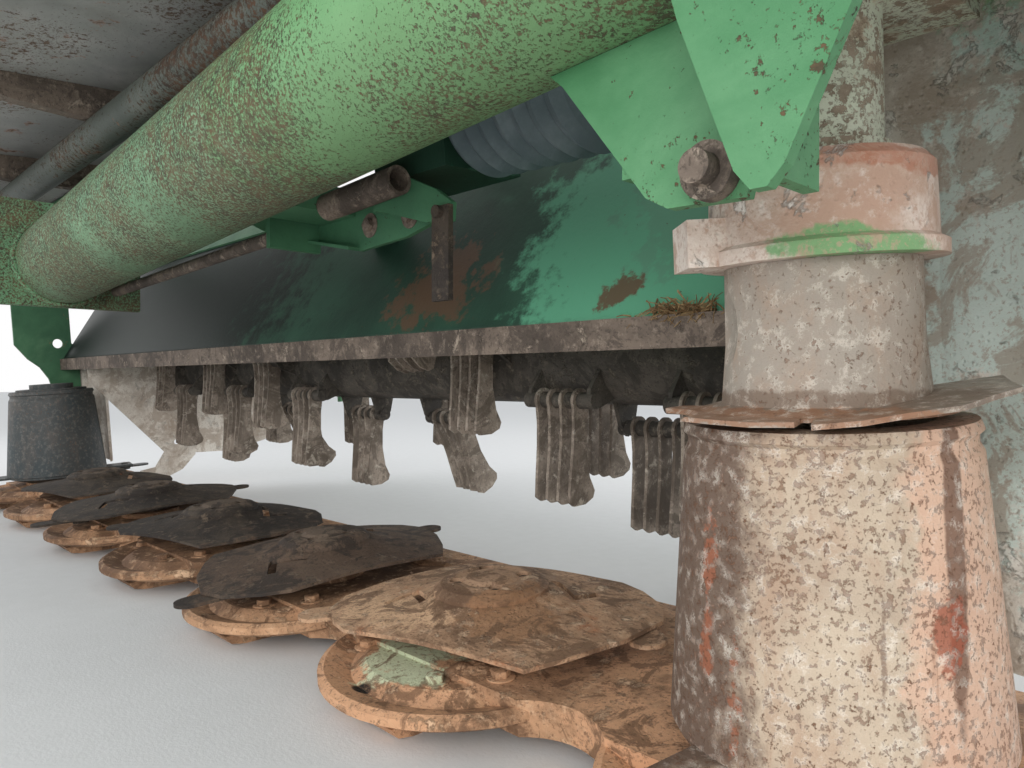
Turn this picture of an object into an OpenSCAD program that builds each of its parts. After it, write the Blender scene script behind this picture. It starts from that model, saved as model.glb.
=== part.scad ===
// Carried disc mower conditioner, parked on its skids and stands.
// Millimetres. Front faces -Y, the hitch and drive end is at +X, up is +Z.

/* [Cutterbar] */
// distance between neighbouring discs
disc_pitch = 420; // [380:5:460]
// number of the far drum, counted from the first disc
far_station = 5; // [3:1:6]
// distance from the near drum to the first disc
drum_gap = 450; // [420:5:480]
// forward lean of the whole mowing unit, in degrees
lean = 4; // [0:0.5:6]
// radius of the round front lobe of each station
lobe_radius = 188; // [150:2:200]
// how far each lobe centre lies in front of the disc axis
lobe_forward = 45; // [20:5:120]
// thickness of the bar
bar_thickness = 40; // [30:2:60]

/* [Discs] */
// half the length of a disc
disc_half_length = 216; // [200:2:218]
// half the width of a disc
disc_half_width = 158; // [130:2:160]
// plate thickness of a disc
disc_plate = 5; // [3:0.5:8]
// reach of a knife tip from its disc axis
knife_reach = 270; // [250:2:275]
// width of a knife
knife_width = 46; // [30:2:60]
// turn of the odd discs at rest, in degrees
odd_turn = 10; // [0:1:90]
// turn of the even discs at rest, in degrees
even_turn = 80; // [0:1:90]

/* [Drums] */
// radius at the top of an end drum
drum_top_radius = 118; // [100:2:140]
// radius at the foot of an end drum
drum_foot_radius = 142; // [120:2:160]
// height of the top of the drums
drum_top = 364; // [300:2:400]
// radius of the fixed drive shroud above the near drum
shroud_radius = 80; // [60:2:90]

/* [Conditioner] */
// distance of the rotor axis behind the disc axis
rotor_back = 424; // [400:2:460]
// height of the rotor axis
rotor_height = 408; // [380:2:460]
// radius of the circle of tine pins
pin_circle = 125; // [100:1:150]
// length of a tine below its pin
tine_length = 178; // [150:2:190]
// half the width of the conditioner housing
housing_half = 1210; // [1000:10:1300]
// thickness of a tine
tine_plate = 6; // [4:0.5:10]

/* [Arm] */
// outer radius of the carrying arm
arm_radius = 95; // [70:1:120]
// outer radius of the tube under the cover
strut_radius = 32; // [20:1:45]

/* [Headstock] */
// sideways place of the middle of the headstock
head_x = 2180; // [2000:10:2400]
// distance between the two lower hitch pins
lower_span = 825; // [600:5:900]
// radius of the lower hitch pins
lower_pin_radius = 14; // [10:0.5:19]
// height of the lower hitch pins above the ground
lower_height = 480; // [400:5:600]
// height of the top link pin above the lower pins
mast_height = 610; // [460:5:700]

/* [Hidden] */
$fn = 48;
origin_x = -605;
origin_y = -386.6;
x0 = 840;
x_drum = x0 + drum_gap;
x_far = x0 - far_station * disc_pitch;
hub_height = 140;
knife_top = 91;
knife_plate = 5;
knife_bolt = 170;
knife_angle = 22;
drum_knife_bolt = 196;
paint = [0.16, 0.47, 0.2];
rust = [0.4, 0.25, 0.17];
steel = [0.5, 0.5, 0.5];
rubber = [0.12, 0.12, 0.12];
arm_far = [-356, -202, 663];
arm_near = [2010, -271, 765];
arm_pivot = [2050, -272, 767];
bar_front = -120;
bar_rear = 240;
front_stand_x = 2590;
flap_hinge = [-484, 990];
door_hinge_y = 1004;
door_x = 1150;
flap_lugs = [-1360, -620, 120, 860];
lift_anchor = [2200, -260, 937];
lift_eye = [1400, -260, 937];
rear_stand_at = [1120, 760];

// disc stations: place along the bar, turn at rest, swing of the two knives on their bolts
stations = [
    [x0, odd_turn, [-62, 24]],
    [x0 - disc_pitch, even_turn, [-20, -14]],
    [x0 - 2 * disc_pitch, odd_turn, [-48, 10]],
    [x0 - 3 * disc_pitch, even_turn, [-26, -18]],
    [x0 - 4 * disc_pitch, odd_turn, [-8, -30]]
];
// end drums: place along the bar, turn at rest
drums = [[x_drum, even_turn], [x_far, even_turn]];

// moves the machine so that the middle of its box lies over the origin
module place() translate([origin_x, origin_y, 0]) children();

// the mowing unit leans forward about the hub line
module leaned() translate([0, 0, hub_height]) rotate([lean, 0, 0]) translate([0, 0, -hub_height]) children();
module unit() place() leaned() children();

module rod(a, b, r, bore = 0) {
    d = b - a;
    length = norm(d);
    translate(a) rotate([0, acos(d[2] / length), atan2(d[1], d[0])])
        difference() {
            cylinder(h = length, r = r);
            if (bore > 0) translate([0, 0, -1]) cylinder(h = length + 2, r = bore);
        }
}

// plate drawn in the x and z directions, standing on y
module wall_xz(y, thick) translate([0, y + thick, 0]) rotate([90, 0, 0])
    linear_extrude(height = thick) children();

// plate drawn in the y and z directions, standing on x
module wall_yz(x, thick) translate([x, 0, 0]) rotate([90, 0, 90])
    linear_extrude(height = thick) children();

// Cutterbar

module station_lobe(x, r = lobe_radius) translate([x, -lobe_forward, 0])
    rotate_extrude($fn = 64) polygon([
        [0, 30], [r - 34, 30], [r - 10, 38], [r, 44], [r, 54],
        [r - 8, 58], [r - 18, 55], [r - 40, 48], [r - 60, 60], [0, 64]
    ]);

// the bar thins toward its rear edge, and its front edge curves in between the lobes
module bar_body() difference() {
    wall_yz(x_far - 150, x_drum - x_far + 300) polygon([
        [bar_front, 26], [bar_rear - 110, 26], [bar_rear, 50], [bar_rear, 58], [bar_rear - 50, 64],
        [bar_rear - 110, 26 + bar_thickness], [bar_front, 26 + bar_thickness]
    ]);
    for (i = [-1 : far_station - 1])
        translate([x0 - i * disc_pitch - disc_pitch / 2 + (i < 0 ? 15 : 0), bar_front - 60, 0])
            cylinder(h = 100, r = 84);
}

module cutterbar() color(rust) unit() {
    union() {
        bar_body();
        for (s = stations) station_lobe(s[0]);
        for (d = drums) station_lobe(d[0]);
        for (s = stations) translate([s[0], 0, 60]) cylinder(h = 16, r = 66);
        for (d = drums) translate([d[0], 0, 60]) cylinder(h = 16, r = 92);
    }
}

module skid_shoes() color(rust) unit()
    for (s = concat(stations, drums)) wall_yz(s[0] - 55, 110) polygon([
        [-205, 29.7], [-196, 17], [-176, 11.9], [128, -9.3], [150, 4], [156, 25.7],
        [bar_front - 1, 25.7], [bar_front - 1, 29.7]
    ]);

// Discs and knives

// one half of the disc's outline; the other half is the same, turned by 180 degrees
half_outline = [
    [150, 16 - disc_half_width], [176, -95], [205, -20], [disc_half_length, 60], [196, 105], [150, 141],
    [110, disc_half_width]
];

module disc_outline() polygon(concat(half_outline, [for (p = half_outline) -p]));

module disc_shell() rotate_extrude($fn = 96) polygon([
    [30, 118], [70, 118], [112, 106], [170, 98], [240, 90],
    [240, 90 + disc_plate], [170, 98 + disc_plate], [112, 107 + disc_plate], [72, 124], [30, 124]
]);

module hub_cap() difference() {
    rotate_extrude($fn = 48) polygon([
        [0, 100], [40, 100], [40, 118], [76, 118], [76, 127], [66, 134], [50, 138], [38, 136], [30, 140], [0, 141]
    ]);
    for (a = [45 : 90 : 315]) rotate(a) translate([44, 0, 128]) cylinder(h = 20, r = 10, $fn = 24);
}

module spindle() rotate_extrude($fn = 48) polygon([[0, 76.3], [46, 76.3], [46, 96], [38, 101], [0, 101]]);

module mowing_disc(i_disc) color(rust) unit() translate([stations[i_disc][0], 0, 0]) rotate(stations[i_disc][1]) {
    union() {
        difference() {
            intersection() {
                disc_shell();
                translate([0, 0, 60]) linear_extrude(height = 90) disc_outline();
            }
            for (a = [0, 180]) rotate(a) translate([109, 42, 80]) {
                rotate(146) cube([62, 13, 50]);
                rotate(70) cube([38, 13, 50]);
            }
        }
        hub_cap();
        spindle();
        for (i = [0, 1]) rotate(180 * i + knife_angle) knife(knife_bolt, stations[i_disc][2][i]);
    }
}

// one knife with its round-headed bolt, swung on the bolt away from straight out
module knife(bolt, swing) translate([bolt, 0, 0]) {
    rotate(swing) translate([0, 0, knife_top - knife_plate]) linear_extrude(height = knife_plate) {
        translate([0, -knife_width / 2]) square([knife_reach - bolt - knife_width / 2, knife_width]);
        translate([knife_reach - bolt - knife_width / 2, 0]) circle(r = knife_width / 2, $fn = 32);
        circle(r = knife_width / 2, $fn = 32);
    }
    translate([0, 0, knife_top - knife_plate - 7]) cylinder(h = 23, r = 10, $fn = 32);
    translate([0, 0, knife_top - knife_plate - 7]) cylinder(h = 7, r = 17, $fn = 32);
}

// End drums

module drum_shell() rotate_extrude($fn = 72) polygon([
    [46, 76.3], [92, 76.3], [drum_foot_radius - 24, 84], [drum_foot_radius - 4, 91], [drum_foot_radius - 4, 97],
    [drum_foot_radius, 99], [drum_top_radius + 3, 338],
    [drum_top_radius - 1, 345], [drum_top_radius - 1, 352], [drum_top_radius + 3, 356], [drum_top_radius, drum_top],
    [88, drum_top], [88, drum_top - 5], [drum_top_radius - 7, drum_top - 6], [drum_foot_radius - 8, 105], [46, 105]
]);

module drum_body(i) color(rust) unit() translate([drums[i][0], 0, 0]) {
    union() {
        drum_shell();
        rotate(drums[i][1]) for (a = [0, 180]) rotate(a) {
            translate([126, -40, 92]) cube([90, 80, 6]);
            knife(drum_knife_bolt, 0);
        }
        if (i == 1) cylinder_cap();
    }
}

module cylinder_cap() difference() {
    union() {
        translate([0, 0, drum_top - 3]) cylinder(h = 9, r = 100);
        translate([0, 0, drum_top + 5]) cylinder(h = 16, r = 62);
    }
    for (a = [0 : 60 : 300]) rotate(a) translate([80, 0, drum_top + 2]) cylinder(h = 20, r = 9, $fn = 24);
}

// rim of the torn plate on the shroud's foot: angle round the drum, reach
torn_front = [[196, 126], [205, 138], [222, 134], [238, 140], [256, 135], [272, 139], [285, 132]];
torn_side = [[290, 136], [304, 141], [318, 135], [333, 145], [350, 139], [365, 148], [380, 141], [400, 150]];

module torn_plate(rim) linear_extrude(height = 4) polygon(concat(
    [for (p = rim) p[1] * [cos(p[0]), sin(p[0])]],
    [for (i = [len(rim) - 1 : -1 : 0]) 84 * [cos(rim[i][0]), sin(rim[i][0])]]
));

// fixed shroud with a dent and a torn foot plate, bent up on one side
module drive_shroud() color(rust) unit() translate([x_drum, 0, 0]) difference() {
    union() {
        rotate_extrude($fn = 64) polygon([
            [shroud_radius - 6, 371], [shroud_radius + 26, 371], [shroud_radius + 27, 374], [shroud_radius + 6, 380],
            [shroud_radius + 1, 430], [shroud_radius, 497], [shroud_radius - 6, 497]
        ]);
        translate([0, 0, 370.5]) torn_plate(torn_front);
        translate([0, 0, 375]) rotate([4.2, -4.2, 0]) torn_plate(torn_side);
    }
    rotate(225) translate([166, 0, 446]) sphere(r = 90, $fn = 64);
    translate([0, 0, 360]) cylinder(h = 140, r = shroud_radius - 6);
}

module drive_collar() color(rust) unit() translate([x_drum, 0, 0]) difference() {
    union() {
        rotate_extrude($fn = 64) polygon([
            [60, 497.3], [100, 497.3], [100, 509], [93, 513], [91, 572], [84, 580], [60, 580]
        ]);
        for (a = [135, 225]) rotate(a) translate([70, -30, 497.3]) cube([50, 60, 40]);
    }
    for (a = [135, 225]) rotate(a) translate([107, 0, 490]) cylinder(h = 60, r = 7, $fn = 24);
}

module drive_column() color(paint) unit() translate([x_drum, 0, 0]) {
    union() {
        translate([0, 0, 580.3]) cylinder(h = 150, r = 54);
        translate([0, 0, 572]) cylinder(h = 20, r = 59.6);
        translate([-100, -78, 700]) cube([200, 180, 179.7]);
        translate([0, -24, 875]) cylinder(h = 22, r = 58);
        translate([60, 2, 800]) rotate([0, 90, 0]) cylinder(h = 54, r = 44);
    }
}

// Conditioner housing

lip_y = 84;
lip_z = 429;
sheet_top = [292, 782];

module front_sheet() color(paint) unit() wall_yz(-1429.7, 1429.7 + housing_half + 6) polygon([
    [lip_y, lip_z], [lip_y + 5, lip_z], [lip_y + 5, lip_z + 35], [lip_y + 12, lip_z + 38],
    [sheet_top[0] + 5, sheet_top[1] - 4], [sheet_top[0], sheet_top[1]], [lip_y, lip_z + 40]
]);

module lip_bar() color(rust) unit() translate([-1429.7, lip_y - 12, lip_z - 1])
    cube([1429.7 + housing_half + 30, 11.7, 38]);

module hood() color(paint) unit() {
    wall_yz(-housing_half + 1, 2 * housing_half - 2) polygon([
        [sheet_top[0] - 20.3, sheet_top[1] - 29.8], [sheet_top[0] - 25.3, sheet_top[1] - 26.5],
        [sheet_top[0] - 5.5, sheet_top[1] + 7], [560, 830], [800, 800], [960, 700],
        [955, 696], [797, 794], [558, 824], [sheet_top[0] - 0.2, sheet_top[1] + 0.5]
    ]);
    for (x = [-900 : 600 : 900]) wall_yz(x - 20, 40) polygon([
        [330, 790], [560, 822], [798, 790], [930, 700], [944, 726], [812, 838], [560, 868], [330, 838]
    ]);
    for (side = [-1, 1]) difference() {
        translate([side * door_x - 30, 930, 676]) cube([60, 96, 24]);
        translate([side * door_x, door_hinge_y, 660]) cylinder(h = 60, r = 10.05);
    }
}

module end_outline() polygon([
    [lip_y + 12, lip_z - 2], [103, 381], [326, 118], [420, 106], [560, 96], [700, 120], [830, 300],
    [975, 520], [985, 700], [800, 812], [560, 842], [sheet_top[0] + 6, sheet_top[1] + 10],
    [sheet_top[0] + 6, sheet_top[1] - 6], [lip_y + 14, lip_z + 38], [lip_y + 6, lip_z + 34]
]);

module end_sheet(side) color(paint) unit() difference() {
    union() {
        wall_yz(side > 0 ? housing_half : -housing_half - 6, 6) end_outline();
        wall_yz(side > 0 ? housing_half : -housing_half - 10, 10) bar_hanger();
        if (side < 0) translate([-housing_half - 30, rotor_back, rotor_height]) rotate([0, 90, 0]) cylinder(h = 30, r = 64);
    }
    translate([side * housing_half - 50, rotor_back, rotor_height]) rotate([0, 90, 0]) cylinder(h = 100, r = 34.05);
    translate([side * housing_half - 50, 366, 152]) rotate([0, 90, 0]) cylinder(h = 100, r = 9, $fn = 24);
    translate([side * housing_half - 50, 130, 440]) rotate([0, 90, 0]) cylinder(h = 100, r = 12, $fn = 24);
}

// low arm that carries the end of the bar and passes under the knives
module bar_hanger() polygon([
    [bar_rear + 0.3, 40], [bar_rear + 0.3, 66], [290, 72], [336, 140], [420, 140], [430, 100], [380, 52], [320, 30]
]);

// plates behind the end drums that lead the crop to the rotor, above the knives
module crop_plate(side) color(rust) unit() {
    x1 = side > 0 ? housing_half + 6.3 : -housing_half - 6.3;
    x2 = side > 0 ? 1500 : -1465;
    d = side > 0 ? 1 : -1;
    translate([0, 0, 112]) linear_extrude(height = side > 0 ? 765 : 390) polygon([
        [x1, 146], [x1 + 40 * d, 160], [x1 + 120 * d, 164], [x2, 126],
        [x2, 132], [x1 + 120 * d, 170], [x1 + 38 * d, 166], [x1, 152]
    ]);
}

module end_brackets() color(paint) unit() {
    wall_yz(-1440, 10) difference() {
        polygon([
            [60, 300], [34, 400], [10, 440], [-24, 470], [-60, 520], [-60, 760], [38, 879.7], [112, 879.7],
            [112, 520], [132, 500], [132, 300]
        ]);
        translate([70, 520]) circle(r = 16);
    }
    wall_yz(1456, 10) polygon([[60, 300], [60, 879.7], [112, 879.7], [133.5, 860], [133.5, 300]]);
}

// Conditioner rotor

// tine groups: place along the rotor, pin angle round it, swing of the tines from hanging
groups = [
    [1110, 150, 0], [1085, 330, 4], [985, 215, 0], [930, 60, -90], [816, 270, 0], [690, 213, 0],
    [600, 330, 3], [477, 160, 0], [390, 40, 25], [322, 105, -45], [262, 270, 24], [120, 345, 0],
    [-70, 270, 0], [-110, 80, -70], [-187, 215, 0], [-300, 335, 5], [-349, 172, 0], [-435, 270, 26],
    [-520, 50, 20], [-570, 213, 0], [-700, 160, 0], [-740, 325, 0], [-850, 270, 0], [-900, 75, -83],
    [-960, 213, 0], [-1060, 330, 6], [-1090, 160, 0]
];

module rotor_body() color(rust) unit() translate([0, rotor_back, rotor_height]) {
    rotate([0, 90, 0]) translate([0, 0, -housing_half + 8])
        cylinder(h = 2 * housing_half - 16, r = 84, $fn = 64);
    rotate([0, 90, 0]) translate([0, 0, -housing_half - 60])
        cylinder(h = 2 * housing_half + 120, r = 34);
    for (g = groups) rotate([g[1], 0, 0]) {
        for (dx = [-72, 64]) wall_yz(g[0] + dx, 8)
            polygon([[70, -34], [pin_circle - 6, -20], [pin_circle + 16, 0], [pin_circle - 6, 20], [70, 34]]);
        translate([g[0] - 78, pin_circle, 0]) rotate([0, 90, 0]) cylinder(h = 156, r = 14, $fn = 32);
    }
}

module tine_shape() difference() {
    union() {
        circle(r = 21, $fn = 32);
        polygon([
            [-20, 6], [-16, -40], [-17, -80], [-22, -tine_length + 40], [-24, -tine_length + 8],
            [-12, -tine_length], [16, -tine_length + 2], [36, -tine_length + 12], [40, -tine_length + 24],
            [26, -tine_length + 48], [16, -85], [15, -40], [20, 6]
        ]);
    }
    circle(r = 14.3, $fn = 32);
}

module tines() color(rust) unit() translate([0, rotor_back, rotor_height])
    for (g = groups) translate([0, pin_circle * cos(g[1]), pin_circle * sin(g[1])])
        for (k = [0 : 3]) rotate([g[2] - lean + 1.5 - k, 0, 0])
            wall_yz(g[0] - 45 + k * 28, tine_plate) tine_shape();

// Carrying arm

module main_arm() color(paint) place() {
    difference() {
        union() {
            rod(arm_far, arm_near, arm_radius);
            translate([arm_pivot[0], arm_pivot[1] - 110, arm_pivot[2]]) rotate([-90, 0, 0]) cylinder(h = 220, r = 62);
            for (y = [-316, -220]) translate([lift_eye[0] - 60, y, 800]) cube([120, 16, 170]);
            translate([1890, -200, 732]) cube([60, 91.7, 66]);
        }
        translate([arm_pivot[0], arm_pivot[1] - 120, arm_pivot[2]]) rotate([-90, 0, 0]) cylinder(h = 240, r = 30.05);
        translate([lift_eye[0], -320, lift_eye[2]]) rotate([-90, 0, 0]) cylinder(h = 120, r = 16);
    }
}

module arm_end_plate() color(paint) place() difference() {
    union() {
        translate([-380, -330, 560]) cube([23.5, 290, 230]);
        wall_xz(-330, 12) polygon([[-380, 560], [-380, 790], [-520, 810], [-600, 800], [-610, 760], [-470, 640]]);
    }
    rod(arm_far - [0.3, 0, 0], arm_near, arm_radius + 0.3);
}

module arm_gussets() color(paint) place() difference() {
    arm_gusset_plates();
    rod(arm_far, arm_near, arm_radius + 0.3);
}

module arm_gusset_plates() {
    wall_xz(-240, 10) polygon([
        [1150, 652], [1184, 622], [1262, 523], [1280, 513], [1339, 511], [1352, 560], [1420, 660], [1420, 690], [1150, 690]
    ]);
    wall_xz(-296, 10) polygon([
        [1298, 700], [1325, 608], [1362, 512], [1372, 500], [1382, 500], [1392, 511], [1428, 586], [1450, 700]
    ]);
    translate([1372, -294, 508]) cube([10, 62, 190]);
    translate([1240, -238, 540]) cube([8, 60, 130]);
}

module latch_pin() color(steel) place() translate([1317, 0, 530]) rotate([90, 0, 0]) {
    translate([0, 0, 240.3]) cylinder(h = 26, r = 11);
    translate([0, 0, 240.3]) cylinder(h = 12, r = 19);
}

// tube under the front of the cover
module cover_tube() color(rust) unit() translate([-1440, -168, 884]) rotate([0, 90, 0])
    cylinder(h = 2440, r = strut_radius);

// bracket behind the arm that carries the unit, with a folded lower edge
module hanger_bracket() color(paint) place() difference() {
    union() {
        wall_xz(-26, 8) polygon([
            [184, 712], [427, 711], [676, 663], [748, 612], [690, 601], [569, 595], [311, 648], [200, 690]
        ]);
        translate([311, -46, 648]) rotate([0, 11.6, 0]) cube([263, 24, 5]);
        translate([460, -170, 650]) cube([99, 148, 40]);
        translate([436, -112, 606]) cube([12, 90, 56]);
        wall_xz(-54, 8) polygon([
            [640, 668], [734, 672], [793, 646], [826, 624], [824, 600], [770, 606], [655, 640]
        ]);
        translate([644, -50, 640]) cube([50, 28, 24]);
    }
    rod(arm_far, arm_near, arm_radius + 0.3);
    translate([812, -60, 612]) rotate([-90, 0, 0]) cylinder(h = 20, r = 8, $fn = 24);
}

module link_tube() color(rust) place() {
    rod([560, -74.5, 656], [740, -74.5, 664], 20, 15);
    rod([-355.6, -94, 603], [435, -100, 624], 11);
}

module hanger_link() color(rust) place() {
    translate([795, -62.3, 498]) cube([34, 8, 122]);
    translate([812, -47, 612]) rotate([90, 0, 0]) cylinder(h = 24, r = 7.7, $fn = 32);
}

// Mowing unit frame

// block between the bracket and the front sheet
module unit_carrier() color(paint) unit() wall_yz(330, 80) polygon([
    [17.3, 640], [197.2, 640], [217.1, 670], [19.4, 670]
]);

module upper_beam() color(paint) unit() {
    translate([-1420, 40, 880]) cube([2876, 90, 90]);
    for (x = [-1180, -300, 500, 1180]) wall_yz(x, 12) polygon([
        [60, 880], [130, 880], [330, 798.4], [330, 838], [130, 969], [60, 969]
    ]);
}

module top_cover() color(paint) unit() {
    wall_yz(-1440, 2440) polygon([
        [-470, 950], [-470, 956], [-440, 985], [40, 985], [130, 976], [130, 970.3], [40, 979], [-437, 979],
        [-464, 953], [-464, 950]
    ]);
    for (x = flap_lugs) difference() {
        translate([x, flap_hinge[0] - 14, flap_hinge[1] - 20]) cube([36, 44, 34]);
        translate([x - 1, flap_hinge[0], flap_hinge[1]]) rotate([0, 90, 0]) cylinder(h = 38, r = 8.05);
    }
}

module cover_ribs() color(rust) unit() for (x = [-1360, -720, -80, 620]) wall_yz(x, 30) polygon([
    [-430, 978.7], [39.7, 978.7], [39.7, 905], [-60, 912], [-168, 916.3], [-300, 930], [-430, 955]
]);

module front_flap() color(paint) unit() {
    difference() {
        wall_yz(-1438, 2436) polygon([[-484, 992], [-484, 997], [-440, 1006], [-40, 1020], [-40, 1015], [-440, 1001]]);
        for (x = flap_lugs) translate([x - 6, flap_hinge[0] - 20, 960]) cube([48, 60, 60]);
    }
    translate([-1400, flap_hinge[0], flap_hinge[1]]) rotate([0, 90, 0]) cylinder(h = 2360, r = 8);
}

module swath_door(side) color(paint) unit() translate([side * door_x, 0, 0]) {
    wall_yz(-3, 6) polygon([[1000, 250], [1440, 230], [1490, 330], [1460, 560], [1000, 660]]);
    translate([0, door_hinge_y, 240]) cylinder(h = 466, r = 10);
}

module rear_stand() color(paint) place() translate([rear_stand_at[0], rear_stand_at[1], 0]) {
    translate([0, 0, 12]) cylinder(h = 470, r = 21);
    cylinder(h = 12, r = 70);
}

module stand_sleeve() color(paint) place() translate([rear_stand_at[0], rear_stand_at[1], 330]) difference() {
    union() {
        cylinder(h = 180, r = 30);
        translate([0, -25, 40]) cube([housing_half - rear_stand_at[0] - 0.3, 50, 90]);
    }
    translate([0, 0, -1]) cylinder(h = 200, r = 21.05);
}

// Drive

module rotor_drive() color(paint) unit() difference() {
    translate([housing_half + 6.3, rotor_back - 90, rotor_height - 110]) cube([70, 180, 470]);
    translate([housing_half, rotor_back, rotor_height]) rotate([0, 90, 0]) cylinder(h = 65, r = 34.05);
}

module cross_shaft() color(steel) unit() rod([800, 63, 750], [1189.7, 63, 750], 26);

// ribbed rubber guard over the cross shaft
module shaft_bellows() color(rubber) unit() translate([800, 63, 750]) rotate([0, 90, 0])
    rotate_extrude($fn = 64) polygon(concat(
        [[26.3, 0], [66, 0]],
        [for (i = [0 : 6]) each [[76 + i, 8 + i * 30], [82 + i, 18 + i * 30], [70 + i, 30 + i * 30]]],
        [[40, 226], [26.3, 226]]
    ));

module angle_gearbox() color(paint) unit() {
    translate([640, -6, 680]) cube([159.7, 140, 140]);
    translate([680, 50, 819]) cube([80, 70, 60.7]);
}

module driveline() color(rubber) place() {
    pivot_gearbox();
    rod([1406, -46, 799], [1640, -52, 790], 40);
    rod([1640, -52, 790], [1940, -52, 780], 36);
}

module pivot_gearbox() translate([arm_pivot[0], -108, arm_pivot[2]]) {
    translate([-150, 0, -90]) cube([240, 140, 180]);
    rotate([-90, 0, 0]) cylinder(h = 158, r = 60);
}

// Headstock

// one cheek of the fork that carries the arm and the lift cylinder
module fork_cheek(y) wall_xz(y, 22) polygon([
    [1985, 700], [1985, 828], [2060, 842], [2150, 960], [2180, 978], [2230, 978], [2262, 950], [2320, 540], [2040, 540]
]);

// plate that carries a lower hitch pin
module hitch_plate(x) wall_yz(x - 10, 20) polygon([[-700, 440], [-700, 520], [-660, 560], [-500, 560], [-500, 430]]);

module headstock() color(paint) place() difference() {
    union() {
        translate([head_x - 480, -560, 420]) cube([960, 120, 120]);
        for (x = [head_x - 130, head_x + 90]) translate([x, -540, 530]) cube([40, 80, 600]);
        translate([head_x - 130, -540, 1090]) cube([260, 80, 60]);
        for (s = [-1, 1]) {
            hitch_plate(head_x + s * (lower_span / 2 - 50));
            translate([head_x + s * (lower_span / 2 - 45), -670, lower_height]) rotate([0, s * 90, 0])
                cylinder(h = 95, r = lower_pin_radius);
        }
        for (x = [head_x - 60, head_x + 40]) wall_yz(x, 20) polygon([
            [-640, 1060], [-640, 1120], [-600, 1150], [-480, 1150], [-480, 1060]
        ]);
        for (y = [-415, -140]) fork_cheek(y);
        translate([2020, -460, 540]) cube([300, 342, 30]);
        translate([arm_pivot[0], -432, arm_pivot[2]]) rotate([-90, 0, 0]) cylinder(h = 320, r = 30);
        translate([lift_anchor[0], -416, lift_anchor[2]]) rotate([-90, 0, 0]) cylinder(h = 300, r = 16);
        translate([1990, -560, 690]) cube([120, 146, 150]);
        translate([2050, -540, arm_pivot[2]]) rotate([90, 0, 0]) cylinder(h = 40, r = 48);
        translate([front_stand_x, -500, 400]) cylinder(h = 160, r = 38);
    }
    translate([head_x - 80, -610, lower_height + mast_height]) rotate([0, 90, 0]) cylinder(h = 160, r = 12.5);
    translate([front_stand_x, -500, 380]) cylinder(h = 200, r = 24.05);
    translate([arm_pivot[0], -581, arm_pivot[2]]) rotate([-90, 0, 0]) cylinder(h = 60, r = 22.05);
}

module input_shaft() color(steel) place() translate([arm_pivot[0], -530, arm_pivot[2]]) rotate([90, 0, 0]) {
    union() {
        cylinder(h = 54, r = 22);
        cylinder(h = 140, r = 17.45);
    }
}

module front_stand() color(paint) place() translate([front_stand_x, -500, 0]) {
    translate([0, 0, 12]) cylinder(h = 620, r = 24);
    cylinder(h = 12, r = 85);
}

lift_way = (lift_eye - lift_anchor) / norm(lift_eye - lift_anchor);

module lift_barrel() color(paint) place() difference() {
    union() {
        rod(lift_anchor + 40 * lift_way, lift_anchor + 420 * lift_way, 35);
        rod(lift_anchor, lift_anchor + 60 * lift_way, 24);
        translate([lift_anchor[0], -284, lift_anchor[2]]) rotate([-90, 0, 0]) cylinder(h = 48, r = 30);
    }
    translate([lift_anchor[0], -300, lift_anchor[2]]) rotate([-90, 0, 0]) cylinder(h = 80, r = 16.05);
    rod(lift_anchor + 70 * lift_way, lift_anchor + 460 * lift_way, 19.05);
}

module lift_rod() color(steel) place() difference() {
    union() {
        rod(lift_anchor + 400 * lift_way, lift_eye, 19);
        translate([lift_eye[0], -276, lift_eye[2]]) rotate([-90, 0, 0]) cylinder(h = 32, r = 28);
    }
    translate([lift_eye[0], -300, lift_eye[2]]) rotate([-90, 0, 0]) cylinder(h = 80, r = 16.05);
}

cutterbar();
skid_shoes();
mowing_disc(0);  // disc_1
mowing_disc(1);  // disc_2
mowing_disc(2);  // disc_3
mowing_disc(3);  // disc_4
mowing_disc(4);  // disc_5
drum_body(0);  // near_drum
drum_body(1);  // far_drum
drive_shroud();
drive_collar();
drive_column();
front_sheet();
lip_bar();
hood();
for (side = [-1, 1]) end_sheet(side);  // end_sheets
for (side = [-1, 1]) crop_plate(side);  // crop_plates
end_brackets();
rotor_body();  // rotor
tines();
main_arm();
arm_end_plate();
arm_gussets();
latch_pin();
cover_tube();
hanger_bracket();
link_tube();
hanger_link();
unit_carrier();
upper_beam();
top_cover();
cover_ribs();
front_flap();
swath_door(1);  // near_swath_door
swath_door(-1);  // far_swath_door
rear_stand();
stand_sleeve();
rotor_drive();
shaft_bellows();
cross_shaft();
angle_gearbox();
driveline();
headstock();
input_shaft();
front_stand();
lift_barrel();
lift_rod();
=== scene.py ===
# %% [markdown]
# # A carried disc mower conditioner
# The machine hangs on a tractor's arms, cuts grass with seven turning
# stations and bruises it with a rotor full of loose flat tines. Every solid
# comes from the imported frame. This lesson gives each one its worn paint,
# rust and mud, and adds the small pieces that sheet metal work needs.

# %% The frame
import math
import random

import bpy
from mathutils import Matrix, Vector


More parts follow.
